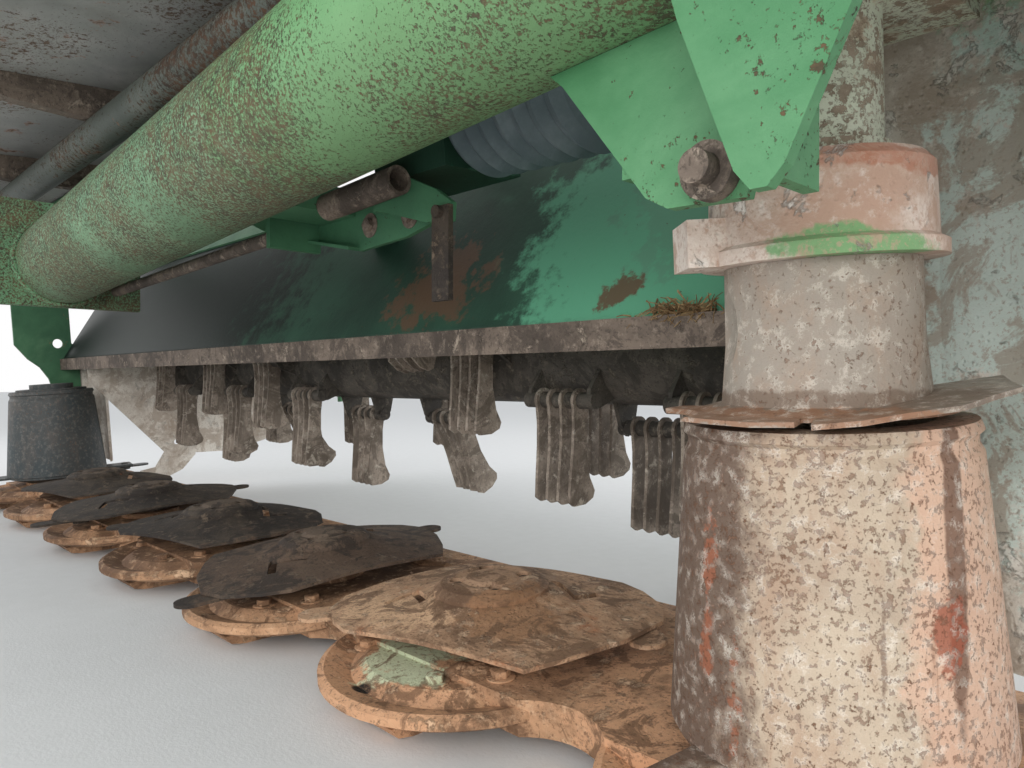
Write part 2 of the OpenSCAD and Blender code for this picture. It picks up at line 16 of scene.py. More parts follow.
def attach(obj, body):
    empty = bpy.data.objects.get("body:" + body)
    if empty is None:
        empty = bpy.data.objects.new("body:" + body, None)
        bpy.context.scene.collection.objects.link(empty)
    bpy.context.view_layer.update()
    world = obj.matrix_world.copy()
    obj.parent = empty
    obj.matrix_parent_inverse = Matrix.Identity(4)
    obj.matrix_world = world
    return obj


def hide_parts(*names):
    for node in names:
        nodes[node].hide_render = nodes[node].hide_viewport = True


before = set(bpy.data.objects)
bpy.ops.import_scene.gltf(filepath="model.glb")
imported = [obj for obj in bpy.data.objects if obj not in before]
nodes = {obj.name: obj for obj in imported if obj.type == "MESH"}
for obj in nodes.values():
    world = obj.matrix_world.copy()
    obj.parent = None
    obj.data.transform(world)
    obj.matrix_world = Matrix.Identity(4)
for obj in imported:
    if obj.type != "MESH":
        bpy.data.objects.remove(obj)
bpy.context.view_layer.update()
print("solids in the frame:", len(nodes))

# %% [markdown]
# ## Camera and light
# The view is from the ground in front of the near end drum, looking along the
# bar. It is set first, so that every later choice can be judged in it. An
# overcast yard is copied with a bright even world and four large soft lamps.

# %% Camera
SENSOR = 36.0
camera_data = bpy.data.cameras.new("low_view")
camera_data.sensor_width = SENSOR
camera_data.lens = SENSOR * 767.0 / 1024.0
camera_data.clip_start = 0.02
camera = bpy.data.objects.new("low_view", camera_data)
camera.location = (0.9775, -1.0679, 0.3956)
camera.rotation_euler = (math.radians(89.74), 0.0, math.radians(45.85))
bpy.context.scene.collection.objects.link(camera)
bpy.context.scene.camera = camera
print("camera at", tuple(round(v, 3) for v in camera.location))

# %% [markdown]
# ### Places in millimetres
# Places are given in millimetres from the line of the discs, as on a drawing,
# and turned into metres from the middle of the box. The mowing unit leans
# forward about its line of hubs, so it has its own way of naming a place.

# %% Places on the machine
MIDDLE_X, MIDDLE_Y = 605.0, 386.6
HUB_HEIGHT = 140
LEAN = math.radians(4.0)
PITCH = 420
FIRST_DISC_X = 840
NEAR_DRUM_X = 1290


def disc_x(number):
    """Where disc 1 to 5 stands along the bar."""
    return FIRST_DISC_X - PITCH * (number - 1)


def on_machine(x, y, z):
    """Millimetres from the line of the discs, as metres in the frame."""
    return Vector(((x - MIDDLE_X) / 1000, (y - MIDDLE_Y) / 1000, z / 1000))


def on_unit(x, y, h):
    """The same on the mowing unit, which leans forward about the line of hubs."""
    up = h - HUB_HEIGHT
    back = y * math.cos(LEAN) - up * math.sin(LEAN)
    height = HUB_HEIGHT + y * math.sin(LEAN) + up * math.cos(LEAN)
    return on_machine(x, back, height)


def on_near_drum(angle, h, r=132.0):
    """A place on the wall of the near drum, by its angle and its height."""
    turn = math.radians(angle)
    return on_unit(NEAR_DRUM_X + r * math.cos(turn), r * math.sin(turn), h)


UNIT_UP = on_unit(0, 0, 1000) - on_unit(0, 0, 0)
print("the unit's up points to", tuple(round(v, 3) for v in UNIT_UP))

# %% [markdown]
# ### Light of an overcast yard
# The sky lights the machine with one even pale colour, while the camera and
# shiny faces see it burnt out to white. The lamps are metres wide, so no
# shadow has a hard rim.

# %% Light
view = bpy.context.scene.view_settings
view.view_transform = "Standard"

world = bpy.data.worlds.new("pale_sky")
bpy.context.scene.world = world
world.use_nodes = True
sky = world.node_tree
background = sky.nodes["Background"]
background.inputs["Color"].default_value = (0.93, 0.96, 1.0, 1)
background.inputs["Strength"].default_value = 0.85
white = sky.nodes.new("ShaderNodeBackground")
white.inputs["Color"].default_value = (1, 1, 1, 1)
ray = sky.nodes.new("ShaderNodeLightPath")
seen = sky.nodes.new("ShaderNodeMath")
seen.operation = "MAXIMUM"
choice = sky.nodes.new("ShaderNodeMixShader")
sky.links.new(ray.outputs["Is Camera Ray"], seen.inputs[0])
sky.links.new(ray.outputs["Is Glossy Ray"], seen.inputs[1])
sky.links.new(seen.outputs[0], choice.inputs["Fac"])
sky.links.new(background.outputs[0], choice.inputs[1])
sky.links.new(white.outputs[0], choice.inputs[2])
sky.links.new(choice.outputs[0], sky.nodes["World Output"].inputs["Surface"])


def soft_lamp(name, place, aim, size, power):
    """A large area lamp at place, turned towards aim."""
    data = bpy.data.lights.new(name, "AREA")
    data.shape = "DISK"
    data.size = size
    data.energy = power
    lamp = bpy.data.objects.new(name, data)
    lamp.location = place
    lamp.rotation_euler = (Vector(aim) - Vector(place)).to_track_quat("-Z", "Y").to_euler()
    bpy.context.scene.collection.objects.link(lamp)
    return lamp


soft_lamp("front_lamp", (1.6, -4.2, 1.7), (0.2, 0, 0.4), 3.0, 80)
soft_lamp("near_lamp", (2.5, -2.0, 0.75), (0.8, -0.1, 0.6), 1.6, 26)
soft_lamp("far_lamp", (-4.5, -2.0, 2.2), (-0.8, 0, 0.4), 2.5, 30)
soft_lamp("rear_lamp", (1.0, 4.5, 2.4), (0, 0, 0.4), 3.0, 110)
print("lamps set")

# %% [markdown]
# ## Finishes
# Farm machinery that stands outside is never one colour. Paint fades in
# clouds, chips to rust where stones hit it, and carries a film of dried mud.
# Each finish below is a stack of noise patterns at the scale of the real
# marks: clouds of half a metre, patches of a hand's width and freckles of a
# few millimetres. All of them read Object coordinates, which are metres here.


# %% A small kit for building a finish
def chip(r, g, b):
    """A colour of 0 to 255, as on a paint chart, made the linear colour a shader needs."""
    def line(c):
        c /= 255.0
        return c / 12.92 if c <= 0.04045 else ((c + 0.055) / 1.055) ** 2.4
    return (line(r), line(g), line(b), 1.0)


GLOSS = 0.35


class Finish:
    """A material under construction: its nodes, its shader and Object coordinates."""

    def __init__(self, name):
        self.material = bpy.data.materials.new(name)
        self.material.use_nodes = True
        self.tree = self.material.node_tree
        self.shader = self.tree.nodes["Principled BSDF"]
        self.place = self.new("TexCoord").outputs["Object"]

    def new(self, kind):
        return self.tree.nodes.new("ShaderNode" + kind)

    def put(self, value, socket):
        if isinstance(value, bpy.types.NodeSocket):
            self.tree.links.new(value, socket)
        else:
            socket.default_value = value

    def stretched(self, scale):
        """Object coordinates scaled apart along x, y and z, for streaks."""
        node = self.new("Mapping")
        self.put(self.place, node.inputs["Vector"])
        node.inputs["Scale"].default_value = scale
        return node.outputs["Vector"]

    def noise(self, scale, detail=6.0, rough=0.6, where=None, bend=0.0):
        """Cloudy noise about 0.5, with scale patches to the metre."""
        node = self.new("TexNoise")
        self.put(where or self.place, node.inputs["Vector"])
        node.inputs["Scale"].default_value = scale
        node.inputs["Detail"].default_value = detail
        node.inputs["Roughness"].default_value = rough
        node.inputs["Distortion"].default_value = bend
        return node.outputs["Fac"]

    def cells(self, scale):
        """Distance to the nearest of many scattered points, for pits."""
        node = self.new("TexVoronoi")
        self.put(self.place, node.inputs["Vector"])
        node.inputs["Scale"].default_value = scale
        return node.outputs["Distance"]

    def step(self, value, low, high):
        """0 below low, 1 above high, smooth between."""
        node = self.new("MapRange")
        node.interpolation_type = "SMOOTHSTEP"
        self.put(value, node.inputs["Value"])
        node.inputs["From Min"].default_value = low
        node.inputs["From Max"].default_value = high
        return node.outputs["Result"]

    def sum(self, operation, a, b):
        """One step of arithmetic on two values."""
        node = self.new("Math")
        node.operation = operation
        self.put(a, node.inputs[0])
        self.put(b, node.inputs[1])
        return node.outputs[0]

    def mix(self, a, b, share):
        """Colour a where share is 0, colour b where it is 1."""
        node = self.new("Mix")
        node.data_type = "RGBA"
        self.put(share, node.inputs[0])
        self.put(a, node.inputs[6])
        self.put(b, node.inputs[7])
        return node.outputs[2]

    def near(self, point, reach, ragged=0.5, squeeze=(1, 1, 1), grain=22.0):
        """1 round a place and 0 beyond its reach, with a ragged rim."""
        away = self.place
        for operation, by in (("SUBTRACT", tuple(point)), ("MULTIPLY", squeeze)):
            node = self.new("VectorMath")
            node.operation = operation
            self.put(away, node.inputs[0])
            node.inputs[1].default_value = by
            away = node.outputs[0]
        length = self.new("VectorMath")
        length.operation = "LENGTH"
        self.put(away, length.inputs[0])
        uneven = self.sum("SUBTRACT", self.noise(grain, 8, 0.7), 0.5)
        shift = self.sum("MULTIPLY", uneven, reach * ragged * 4)
        return self.step(self.sum("ADD", length.outputs["Value"], shift), reach, reach * 0.7)

    def lay(self, colour, marks):
        """Lays marks over a colour: each is a colour, a share, and what near() needs."""
        for paint, share, point, reach, *rest in marks:
            cover = self.sum("MULTIPLY", self.near(point, reach, *rest), share)
            colour = self.mix(colour, paint, cover)
        return colour

    def facing_down(self):
        """1 on undersides, 0 on faces that look level or up."""
        parts = self.new("SeparateXYZ")
        self.put(self.new("NewGeometry").outputs["Normal"], parts.inputs[0])
        return self.step(parts.outputs["Z"], 0.1, -0.8)

    def close(self, colour, rough, height, relief=0.002, metal=0.0):
        """Joins colour, roughness and height to the shader and returns the material."""
        self.shader.inputs["Specular IOR Level"].default_value = GLOSS
        self.put(colour, self.shader.inputs["Base Color"])
        self.put(rough, self.shader.inputs["Roughness"])
        self.shader.inputs["Metallic"].default_value = metal
        bump = self.new("Bump")
        bump.inputs["Strength"].default_value = 0.8
        bump.inputs["Distance"].default_value = relief
        self.put(height, bump.inputs["Height"])
        self.put(bump.outputs["Normal"], self.shader.inputs["Normal"])
        return self.material


print("finish kit ready")

# %% [markdown]
# ### Worn green paint
# The paint is a middle green that has gone chalky. Masks lay rust over it:
# freckles of two sizes, thicker in some clouds than in others, and ragged
# patches with an orange rim. A tan film of dust comes last. Moving the
# thresholds gives a clean hood or a plate that has hardly any paint left, so
# one function serves every painted piece.


# %% Green paint, from clean to nearly gone
BROWN_RUST = chip(98, 70, 52)
DARK_RUST = chip(58, 46, 39)
ORANGE_RUST = chip(166, 100, 60)
DUST = chip(140, 128, 108)


def green_paint(name, greens, bare=0.5, freckle=0.5, dust=0.3, chalk=0.5, under=0.0, marks=(),
                rusts=(DARK_RUST, BROWN_RUST), grain=1.0):
    """greens run deep, fresh, chalky. The masks bare, freckle, dust, chalk and under
    go from 0 to 1, and a grain above 1 makes the marks finer."""
    f = Finish(name)
    cloud = f.noise(2.2, 8, 0.62)
    fade = f.step(f.noise(5.0, 7, 0.6, bend=0.6), 0.7 - chalk * 0.4, 0.95 - chalk * 0.3)
    colour = f.mix(greens[0], greens[1], f.step(cloud, 0.3, 0.6))
    colour = f.mix(colour, greens[2], fade)
    colour = f.lay(colour, marks)
    coarse = f.noise(11.0 * grain, 9, 0.68)
    patch = f.step(coarse, 0.78 - bare * 0.36, 0.82 - bare * 0.36)
    fine = f.noise(95.0 * grain, 5, 0.7)
    tiny = f.noise(260.0, 4, 0.7)
    where = f.step(cloud, 0.62 - freckle * 0.35, 0.9 - freckle * 0.35)
    many = f.sum("MULTIPLY", where, 0.16)
    spots = f.step(f.sum("ADD", fine, many), 0.7 - freckle * 0.08, 0.74 - freckle * 0.08)
    dots = f.step(f.sum("ADD", tiny, many), 0.74 - freckle * 0.12, 0.78 - freckle * 0.12)
    worn = f.sum("MAXIMUM", patch, f.sum("MAXIMUM", spots, f.sum("MULTIPLY", dots, 0.7)))
    rim = f.step(coarse, 0.755 - bare * 0.36, 0.785 - bare * 0.36)
    colour = f.mix(colour, ORANGE_RUST, f.sum("MULTIPLY", rim, 0.45))
    rust = f.mix(*rusts, f.step(f.noise(38.0, 6, 0.7), 0.35, 0.62))
    colour = f.mix(colour, rust, f.sum("MULTIPLY", worn, 0.9))
    film = f.sum("MULTIPLY", f.step(f.noise(7.0, 9, 0.7, bend=0.4), 0.62 - dust * 0.35, 0.85), dust)
    below = f.sum("MULTIPLY", f.facing_down(), under)
    colour = f.mix(colour, DUST, f.sum("MAXIMUM", film, below))
    rough = f.sum("ADD", 0.56, f.sum("MULTIPLY", worn, 0.34))
    height = f.sum("ADD", f.sum("MULTIPLY", worn, -0.45), f.sum("MULTIPLY", fine, 0.5))
    return f.close(colour, rough, height, 0.0016)


# %% [markdown]
# ### Bare rusted steel
# Where crop and soil rub, no paint is left. The steel is brown with darker
# scale, orange where it is wet, and pale where mud has dried. The relief is
# deeper than that of paint, because rust lifts in flakes.


# %% Rusted steel in several browns
def rusted(name, browns, orange=0.3, mud=0.3, relief=0.0025, paint=0.0, marks=()):
    """browns run dark, middle, bright; orange, mud and paint from 0, none, to 1, all over."""
    f = Finish(name)
    cloud = f.noise(6.0, 9, 0.66, bend=0.5)
    grain = f.noise(60.0, 8, 0.72)
    pits = f.cells(140.0)
    colour = f.mix(browns[0], browns[1], f.step(cloud, 0.36, 0.6))
    colour = f.mix(colour, browns[2], f.sum("MULTIPLY", f.step(grain, 0.5, 0.72), 0.7))
    wet = f.step(f.noise(13.0, 8, 0.7), 0.74 - orange * 0.34, 0.86 - orange * 0.3)
    colour = f.mix(colour, ORANGE_RUST, f.sum("MULTIPLY", wet, 0.6))
    if paint:
        left = f.step(f.noise(9.0, 7, 0.62), 0.8 - paint * 0.3, 0.83 - paint * 0.3)
        colour = f.mix(colour, GUSSET_GREENS[0], f.sum("MULTIPLY", left, 0.8))
    colour = f.lay(colour, marks)
    scale = f.step(f.noise(16.0, 9, 0.72, bend=0.8), 0.5, 0.57)
    colour = f.mix(colour, browns[0], f.sum("MULTIPLY", scale, 0.75))
    flakes = f.step(f.noise(30.0, 9, 0.74, bend=0.4), 0.57, 0.63)
    colour = f.mix(colour, browns[2], f.sum("MULTIPLY", flakes, 0.7))
    specks = f.step(f.noise(210.0, 4, 0.7), 0.55, 0.62)
    colour = f.mix(colour, browns[0], f.sum("MULTIPLY", specks, 0.6))
    dried = f.step(f.noise(18.0, 9, 0.7, bend=1.0), 0.8 - mud * 0.38, 0.95 - mud * 0.3)
    colour = f.mix(colour, DUST, f.sum("MULTIPLY", dried, 0.75))
    height = f.sum("ADD", f.sum("ADD", grain, flakes), f.sum("MULTIPLY", f.step(pits, 0.0, 0.35), 0.4))
    return f.close(colour, f.sum("ADD", 0.6, f.sum("MULTIPLY", grain, 0.35)), height, relief)


# %% [markdown]
# ### Polished drum steel
# Grass keeps the drums scoured, so they are pale grey steel peppered with
# freckles of rust, with streaks where water ran down. The streaks come from
# noise stretched more than ten times along the height.


# %% Freckled steel
DULL_STEEL = chip(150, 128, 110)
WARM_STEEL = chip(172, 140, 116)
PALE_STEEL = chip(234, 224, 210)
FRECKLE = chip(112, 76, 54)
STREAK = chip(142, 96, 70)


def freckled(name, pale, freckles=0.5, streaks=0.5, dirt=0.2, marks=(), clouds=0.6):
    """pale is the clean steel; the other measures run from 0, none, to 1."""
    f = Finish(name)
    cloud = f.noise(7.0, 8, 0.62)
    fine = f.noise(190.0, 5, 0.7)
    small = f.noise(165.0, 8, 0.74)
    shade = f.noise(26.0, 9, 0.74, where=f.stretched((1, 1, 0.45)), bend=0.5)
    colour = f.mix(pale, DULL_STEEL, f.sum("MULTIPLY", f.step(cloud, 0.36, 0.66), clouds))
    colour = f.mix(colour, WARM_STEEL, f.sum("MULTIPLY", f.step(shade, 0.46, 0.68), clouds))
    colour = f.lay(colour, marks)
    thick = f.sum("ADD", fine, f.sum("MULTIPLY", cloud, 0.22))
    dots = f.step(thick, 0.74 - freckles * 0.12, 0.79 - freckles * 0.12)
    blots = f.step(small, 0.68 - freckles * 0.12, 0.73 - freckles * 0.12)
    spots = f.sum("MAXIMUM", f.sum("MULTIPLY", dots, 0.75), blots)
    scoured = f.step(f.noise(95.0, 8, 0.74), 0.5, 0.62)
    colour = f.mix(colour, PALE_STEEL, f.sum("MULTIPLY", scoured, clouds))
    colour = f.mix(colour, FRECKLE, f.sum("MULTIPLY", spots, 0.85))
    run = f.noise(9.0, 6, 0.65, where=f.stretched((3.2, 3.2, 0.25)))
    lines = f.step(run, 0.72 - streaks * 0.16, 0.8 - streaks * 0.14)
    colour = f.mix(colour, STREAK, f.sum("MULTIPLY", lines, 0.6))
    stain = f.step(f.noise(3.5, 9, 0.7), 0.7 - dirt * 0.4, 0.9 - dirt * 0.3)
    colour = f.mix(colour, BROWN_RUST, f.sum("MULTIPLY", stain, 0.7))
    height = f.sum("ADD", f.sum("MULTIPLY", spots, 0.5), fine)
    return f.close(colour, f.sum("ADD", 0.55, f.sum("MULTIPLY", spots, 0.3)), height, 0.0012)


# %% [markdown]
# ### Rubber and turned steel
# The bellows and the guard of the driveline are dusty black rubber and
# plastic that has gone grey. Rods and shafts are bright steel with stains.

# %% Rubber and bright steel
def rubber(name):
    f = Finish(name)
    dusty = f.step(f.noise(9.0, 8, 0.65), 0.4, 0.75)
    colour = f.mix(chip(96, 110, 116), chip(156, 168, 172), f.sum("MULTIPLY", dusty, 0.6))
    return f.close(colour, 0.72, f.noise(150.0, 4, 0.6), 0.0006)


def bright_steel(name):
    f = Finish(name)
    stain = f.step(f.noise(14.0, 8, 0.7), 0.5, 0.72)
    colour = f.mix(chip(158, 152, 142), BROWN_RUST, f.sum("MULTIPLY", stain, 0.8))
    rough = f.sum("ADD", 0.32, f.sum("MULTIPLY", stain, 0.45))
    return f.close(colour, rough, f.noise(90.0, 5, 0.6), 0.0008, 0.5)


# %% [markdown]
# ### Which piece wears which finish
# A plain table says it. Pieces near the soil are brown, pieces up under the
# cover keep their green, and the arm is freckled all over. Some marks have a
# place on the real machine, such as a smear of green paint on the collar, so
# they are laid there, each as a colour, its share, its middle and its reach.
# Other marks are painted light and shade: a lit patch and a painted shadow on
# the front sheet, painted highlights on the near plate and near-black painted
# shade in the holes of the lobes. The rust of the collar and of the near plate
# is lightened as painted light, to make up for the shade they lie in.

# %% Giving the solids their finish
GUSSET_GREENS = (chip(52, 104, 64), chip(72, 126, 84), chip(98, 148, 106))
brown = (chip(106, 78, 57), chip(196, 152, 116), chip(228, 190, 154))
pale_brown = (chip(104, 78, 58), chip(190, 152, 120), chip(226, 194, 162))
dull_brown = (chip(46, 40, 36), chip(78, 68, 58), chip(120, 104, 88))
tan = (chip(74, 65, 58), chip(124, 110, 98), chip(176, 160, 144))
grey_brown = (chip(64, 60, 55), chip(98, 92, 84), chip(140, 130, 116))
tine_brown = (chip(104, 93, 82), chip(168, 154, 140), chip(212, 200, 184))
# The collar's rust browns are lightened far past real rust: painted light that makes up for the shade under the
# gussets.
skirt_rust_lightened_for_shade = (chip(190, 156, 136), chip(234, 220, 208), chip(242, 234, 226))
# The near plate's rust browns are lightened too: painted light for a plate that lies in shade behind the end
# bracket.
plate_rust_lightened_for_shade = (chip(176, 160, 144), chip(228, 220, 208), chip(240, 234, 224))
tube_grey = (chip(66, 72, 66), chip(94, 100, 92), chip(128, 130, 120))
PEACH_RUST = chip(212, 162, 124)
LIVER = chip(96, 66, 50)
GRASS_GREEN = chip(116, 166, 110)
# A near-black for painted shade inside holes.
PAINTED_HOLE_SHADE = chip(16, 13, 11)

drum_marks = [
    (chip(96, 76, 64), 0.9, on_near_drum(218, 220), 0.122, 0.25, (1, 1, 0.1)),
    (chip(222, 176, 150), 0.6, on_near_drum(350, 220), 0.08, 0.3, (1, 1, 0.1)),
    (LIVER, 0.8, on_near_drum(339, 330, 124), 0.011, 0.2, (1, 1, 0.02)),
    (chip(150, 74, 48), 0.8, on_near_drum(333, 222), 0.013, 1.3, (1, 1, 0.5)),
    (chip(160, 92, 62), 0.7, on_near_drum(249, 210), 0.008, 1.5, (1, 1, 0.1)),
    (chip(160, 92, 62), 0.6, on_near_drum(262, 150), 0.006, 1.5, (1, 1, 0.12)),
    (LIVER, 0.6, on_near_drum(309, 190), 0.003, 1.0, (1, 1, 0.06)),
]
shroud_marks = [
    (chip(116, 96, 80), 0.75, on_unit(1290, 0, 378), 0.012, 0.5, (0.03, 0.03, 1)),
    (chip(150, 104, 74), 0.7, on_unit(1290, 0, 368), 0.008, 0.8, (0.01, 0.01, 1)),
]
skirt_marks = [
    (GRASS_GREEN, 0.9, on_unit(1355, -78, 504), 0.055, 0.5, (0.8, 0.8, 3.0)),
    (chip(176, 112, 84), 0.7, on_unit(1290, 0, 566), 0.012, 0.7, (0.04, 0.04, 1)),
]
bar_marks_and_painted_hole_shade = [
    (PEACH_RUST, 0.85, on_unit(1290, -60, 50), 0.24, 0.4),
    (PEACH_RUST, 0.75, on_unit(840, -215, 50), 0.17, 0.5, (1, 1.6, 1)),
    (chip(196, 206, 172), 0.9, on_unit(822, -122, 57), 0.072, 0.8),
    (GRASS_GREEN, 0.9, on_unit(1188, -31, 50), 0.022, 0.8),
    (GRASS_GREEN, 0.85, on_unit(1251, -24, 50), 0.03, 0.9),
    (chip(226, 214, 200), 0.9, on_unit(1170, -47, 50), 0.01, 0.7),
    # Painted shade: two near-black spots stand in for the dark inside of holes in the lobes.
    (PAINTED_HOLE_SHADE, 1.0, on_unit(1208, -32, 52), 0.008, 0.1),
    (PAINTED_HOLE_SHADE, 1.0, on_unit(821, -193, 52), 0.011, 0.1, (0.6, 1, 1)),
]
sheet_rust_and_painted_light_and_shadow = [
    # Painted light: two bright green patches on the near part of the sheet, where light falls on it.
    (chip(96, 164, 130), 0.95, on_unit(1040, 170, 590), 0.28, 0.4),
    (chip(96, 140, 116), 0.6, on_unit(1080, 190, 620), 0.14, 0.7),
    (BROWN_RUST, 0.9, on_unit(993, 103, 498), 0.03, 0.9),
    (BROWN_RUST, 0.8, on_unit(600, 132, 540), 0.06, 0.9, (0.5, 1, 0.5)),
    # Painted shadow: a near-black cloud over the far part of the sheet, which lies in shade.
    (chip(8, 16, 14), 0.92, on_unit(-800, 200, 620), 1.0, 0.3),
]
plate_marks_and_painted_highlight = [
    # Painted highlight: a pale green lit strip on the near plate.
    (chip(176, 206, 166), 0.9, on_unit(1470, 130, 620), 0.035, 0.7, (0.5, 0.5, 0.22)),
    (GRASS_GREEN, 0.8, on_unit(1400, 150, 790), 0.09, 0.8),
    # Painted highlight: a pale, greenish lit cloud lower on the near plate.
    (chip(214, 230, 222), 0.8, on_unit(1440, 140, 480), 0.14, 0.8, (1, 1, 0.5)),
]
disc_marks = [
    (chip(96, 72, 56), 0.8, on_unit(840, 0, 126), 0.086, 0.15, (1, 1, 0.3)),
    (chip(190, 154, 124), 0.7, on_unit(840, 0, 132), 0.068, 0.35, (1, 1, 0.3)),
    (chip(150, 110, 78), 0.7, on_unit(930, -40, 112), 0.07, 0.8),
    (chip(214, 176, 140), 0.7, on_unit(760, -110, 106), 0.05, 1.0, (0.5, 1, 1)),
]
far_disc_marks = [(chip(132, 104, 84), 0.3, on_unit(disc_x(2), 0, 120), 0.26, 0.5)]
for number in range(2, 6):
    far_disc_marks.append((chip(118, 102, 88), 0.7, on_unit(disc_x(number), 0, 132), 0.068, 0.35, (1, 1, 0.3)))
arm_marks = [
    (chip(108, 158, 104), 0.8, on_machine(1150, -330, 740), 0.5, 0.4),
]
ARM_GREENS = (chip(80, 124, 90), chip(112, 156, 116), chip(144, 182, 142))
SHEET_GREENS = (chip(30, 56, 44), chip(48, 84, 66), chip(70, 112, 88))
BEAM_GREENS = (chip(46, 84, 60), chip(72, 118, 84), chip(112, 152, 114))
COVER_GREENS = (chip(138, 139, 136), chip(170, 169, 165), chip(194, 191, 187))
COLUMN_GREENS = (chip(176, 190, 160), chip(204, 208, 186), chip(216, 218, 200))
BRACKET_GREENS = (chip(57, 98, 72), chip(82, 134, 98), chip(110, 160, 124))
SOFT_RUSTS = (chip(120, 100, 84), chip(156, 136, 118))

finishes = {
    "paint_arm": green_paint(
        "paint_arm", ARM_GREENS, 0.14, 0.85, 0.1, 0.5, under=0.16, marks=arm_marks, grain=2.4
    ),
    "paint_bracket": green_paint("paint_bracket", BRACKET_GREENS, 0.2, 0.5, 0.1, 0.4),
    "paint_sheet": green_paint("paint_sheet", SHEET_GREENS, 0.12, 0.25, 0.08, 0.3, marks=sheet_rust_and_painted_light_and_shadow),
    "paint_plate": green_paint("paint_plate", BEAM_GREENS, 0.34, 0.4, 0.25, 0.55, under=0.3),
    "paint_gusset": green_paint("paint_gusset", GUSSET_GREENS, 0.16, 0.4, 0.12, 0.7),
    "paint_hood": green_paint("paint_hood", BEAM_GREENS, bare=0.2, freckle=0.3, dust=0.3, chalk=0.6),
    "paint_cover": green_paint(
        "paint_cover", COVER_GREENS, 0.4, 0.6, 0.4, 0.5, rusts=(BROWN_RUST, SOFT_RUSTS[0])
    ),
    "paint_tube": green_paint("paint_tube", tube_grey, bare=0.38, freckle=0.75, dust=0.25, chalk=0.4),
    "paint_gone": green_paint("paint_gone", COLUMN_GREENS, 0.6, 0.7, 0.6, 0.6, rusts=SOFT_RUSTS),
    "rust_disc_near": rusted("rust_disc_near", pale_brown, orange=0.5, mud=0.3, relief=0.004, marks=disc_marks),
    "rust_disc": rusted("rust_disc", dull_brown, orange=0.3, mud=0.25, marks=far_disc_marks),
    "rust_bar": rusted("rust_bar", brown, orange=0.4, mud=0.3, marks=bar_marks_and_painted_hole_shade),
    "rust_lip": rusted("rust_lip", tan, orange=0.2, mud=0.4),
    "rust_rotor": rusted("rust_rotor", grey_brown, orange=0.15, mud=0.5),
    "rust_tine": rusted("rust_tine", tine_brown, orange=0.15, mud=0.3, relief=0.0015),
    "rust_skirt": rusted("rust_skirt", skirt_rust_lightened_for_shade, orange=0.2, mud=0.2, marks=skirt_marks),
    "rust_plate": rusted("rust_plate", plate_rust_lightened_for_shade, orange=0.3, mud=0.25, paint=0.4, marks=plate_marks_and_painted_highlight),
    "rust_dark": rusted("rust_dark", dull_brown, orange=0.15, mud=0.15),
    "steel_drum": freckled("steel_drum", chip(196, 178, 156), 0.75, 0.5, 0.15, marks=drum_marks),
    "steel_far_drum": freckled("steel_far_drum", chip(60, 68, 70), 0.2, 0.2, 0.15, clouds=0.1),
    "steel_shroud": freckled(
        "steel_shroud", chip(162, 152, 140), 0.4, 0.3, 0.3, marks=shroud_marks, clouds=0.4
    ),
    "rubber_guard": rubber("rubber_guard"),
    "steel_turned": bright_steel("steel_turned"),
}

wears = {
    "paint_arm": ["main_arm", "arm_end_plate"],
    "paint_bracket": ["hanger_bracket"],
    "paint_cover": ["top_cover"],
    "paint_gusset": ["arm_gussets"],
    "paint_tube": ["cover_tube"],
    "rust_dark": ["hanger_link"],
    "paint_sheet": ["front_sheet", "unit_carrier", "angle_gearbox"],
    "paint_plate": ["end_brackets", "upper_beam", "headstock", "lift_barrel", "stand_sleeve"],
    "paint_hood": ["hood", "front_flap", "near_swath_door", "far_swath_door", "rotor_drive"],
    "paint_gone": ["drive_column"],
    "rust_disc_near": ["disc_1"],
    "rust_disc": ["disc_2", "disc_3", "disc_4", "disc_5"],
    "rust_bar": ["cutterbar", "skid_shoes"],
    "rust_lip": ["lip_bar", "cover_ribs", "link_tube", "latch_pin"],
    "rust_rotor": ["rotor"],
    "rust_tine": ["tines"],
    "rust_skirt": ["drive_collar"],
    "rust_plate": ["crop_plates", "end_sheets"],
    "steel_drum": ["near_drum"],
    "steel_far_drum": ["far_drum"],
    "steel_shroud": ["drive_shroud"],
    "rubber_guard": ["shaft_bellows", "driveline"],
    "steel_turned": ["lift_rod", "input_shaft", "cross_shaft", "front_stand", "rear_stand"],
}
for finish, names in wears.items():
    for name in names:
        solid = nodes[name]
        solid.data.materials.clear()
        solid.data.materials.append(finishes[finish])
undressed = sorted(set(nodes) - {n for names in wears.values() for n in names})
print("solids without a finish:", undressed)

# %% [markdown]
# ## Bolts
# Sheet metal is held by rows of hexagon bolts on round washers. They could be
# instanced, but real heads joined into one mesh are exported as they are. A
# row is made by adding the primitives, joining them at the origin and taking
# the sharpness off with one bevel.


# %% A row of hexagon bolts
def settle(piece, body, finish):
    """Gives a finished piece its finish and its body."""
    piece.data.materials.clear()
    piece.data.materials.append(finishes[finish])
    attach(piece, body)
    return piece


def joined(name, pieces):
    """Joins pieces into one mesh that lies untransformed at the origin."""
    bpy.ops.object.select_all(action="DESELECT")
    for piece in pieces:
        piece.select_set(True)
    bpy.context.view_layer.objects.active = pieces[0]
    if len(pieces) > 1:
        bpy.ops.object.join()
    bpy.ops.object.transform_apply(location=True, rotation=True, scale=True)
    bpy.context.object.name = name
    return bpy.context.object


def worn_edges(piece, width, segments=2):
    """Rounds sharp edges with a bevel and shades the rest smooth."""
    bevel = piece.modifiers.new("worn", "BEVEL")
    bevel.width = width
    bevel.segments = segments
    bevel.limit_method = "ANGLE"
    bpy.ops.object.modifier_apply(modifier="worn")
    bpy.ops.object.shade_smooth_by_angle(angle=math.radians(35))


